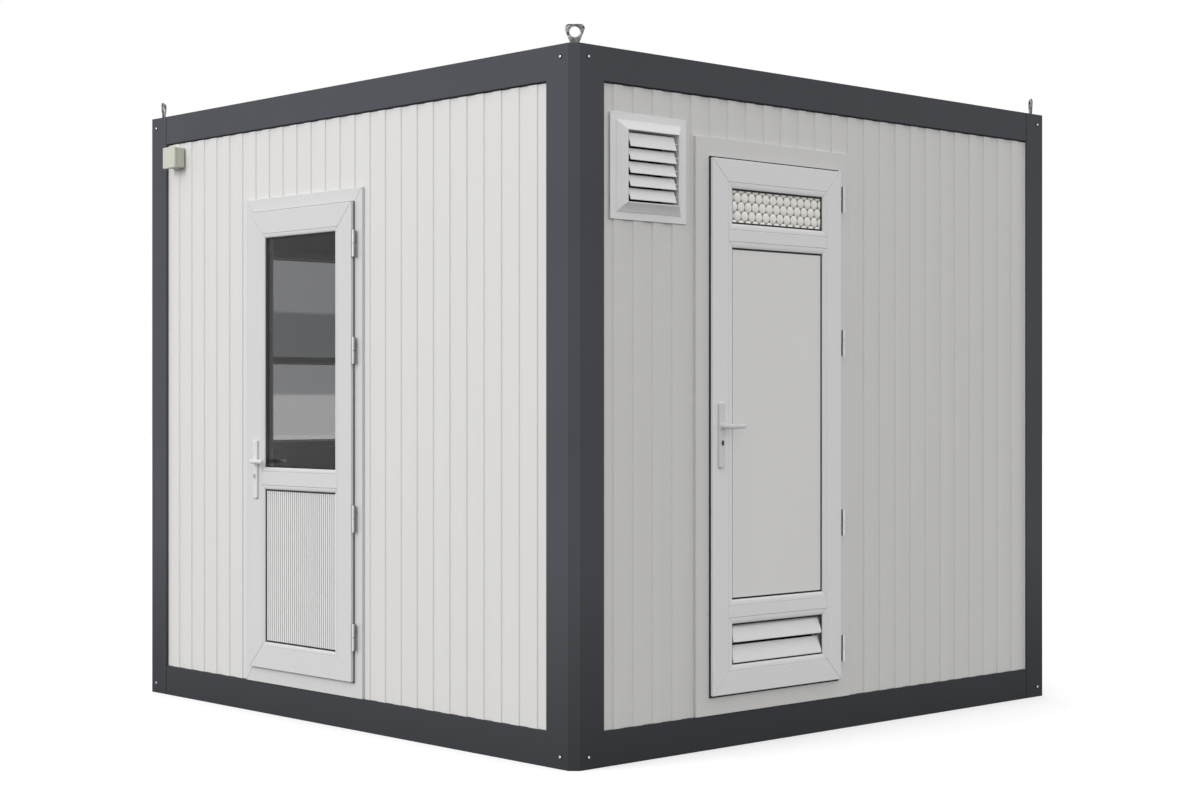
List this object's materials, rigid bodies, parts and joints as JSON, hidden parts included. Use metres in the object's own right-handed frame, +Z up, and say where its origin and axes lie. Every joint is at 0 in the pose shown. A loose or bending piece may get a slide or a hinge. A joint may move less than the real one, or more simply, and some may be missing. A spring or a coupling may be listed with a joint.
{
  "type": "security guard booth",
  "caption": "Square demountable guard cabin with a dark steel frame, ribbed pale walls, a half-glazed entrance door, a louvred washroom door and lifting eyes.",
  "frame": {"origin": "on the ground at the middle of the base", "axes": "+Z up, the entrance wall faces -Y and the washroom door wall faces +X"},
  "size_m": [2.919, 2.915, 2.654],
  "materials": {
    "anthracite_steel": "fine-textured anthracite powder coat",
    "panel_coating": "warm off-white coil coating on ribbed sheet",
    "galvanised_steel": "hot-dip galvanised, dull spangle",
    "joist_timber": "sawn softwood",
    "floor_board": "plywood with a grey floor covering",
    "ceiling_lining": "smooth off-white coated sheet",
    "white_pvc": "satin white extruded plastic",
    "tinted_glass": "smooth grey tinted sealed pane",
    "obscure_glass": "cast glass with a bubble pattern",
    "vent_plastic": "smooth white moulded plastic",
    "box_plastic": "matt cream moulded plastic",
    "hinge_metal": "white stoved hinge barrels",
    "handle_metal": "white stoved die-cast handle"
  },
  "bodies": {
    "booth": {"post_front_left": "anthracite_steel", "post_front_right": "anthracite_steel", "post_back_right": "anthracite_steel", "post_back_left": "anthracite_steel", "bottom_rails": "anthracite_steel", "top_rails": "anthracite_steel", "lifting_eyes": "galvanised_steel", "floor_joists": "joist_timber", "floor_panel": "floor_board", "ceiling_panel": "ceiling_lining", "roof_sheet": "galvanised_steel", "front_wall_left": "panel_coating", "front_wall_right": "panel_coating", "front_wall_over_door": "panel_coating", "right_wall_front": "panel_coating", "right_wall_back": "panel_coating", "right_wall_over_door": "panel_coating", "left_wall_front": "panel_coating", "left_wall_back": "panel_coating", "left_wall_under_window": "panel_coating", "left_wall_over_window": "panel_coating", "back_wall": "panel_coating", "entrance_frame": "white_pvc", "entrance_hinge_pins": "hinge_metal", "washroom_frame": "panel_coating", "washroom_hinge_pins": "hinge_metal", "vent_frame": "vent_plastic", "vent_blades": "vent_plastic", "junction_box": "box_plastic", "window_frame": "white_pvc", "window_glass": "tinted_glass"},
    "entrance_door": {"entrance_leaf": "white_pvc", "entrance_glass": "tinted_glass", "entrance_lower_panel": "white_pvc", "entrance_hinge_sleeves": "hinge_metal", "entrance_handle_plates": "handle_metal"},
    "entrance_handle": {"entrance_lever": "handle_metal"},
    "washroom_door": {"washroom_leaf": "white_pvc", "washroom_louvre": "white_pvc", "washroom_panel": "white_pvc", "washroom_transom_glass": "obscure_glass", "washroom_hinge_sleeves": "hinge_metal", "washroom_handle_plates": "handle_metal"},
    "washroom_handle": {"washroom_lever": "handle_metal"}
  },
  "joints": [
    {"name": "entrance_door_hinge", "type": "hinge", "parent": "booth", "child": "entrance_door", "pos_m": [0.151, -1.447, 1.1], "axis": [0, 0, 1], "range_deg": [0, 110]},
    {"name": "entrance_lever_turn", "type": "hinge", "parent": "entrance_door", "child": "entrance_handle", "pos_m": [-0.529, -1.417, 1.058], "axis": [0, 1, 0], "range_deg": [0, 40], "stiffness_Nm_per_rad": 1.5, "springref_deg": -20.05},
    {"name": "washroom_door_hinge", "type": "hinge", "parent": "booth", "child": "washroom_door", "pos_m": [1.447, 0.012, 1.1], "axis": [0, 0, 1], "range_deg": [0, 110]},
    {"name": "washroom_lever_turn", "type": "hinge", "parent": "washroom_door", "child": "washroom_handle", "pos_m": [1.417, -0.695, 1.215], "axis": [-1, 0, 0], "range_deg": [0, 40], "stiffness_Nm_per_rad": 1.5, "springref_deg": -20.05}
  ]
}
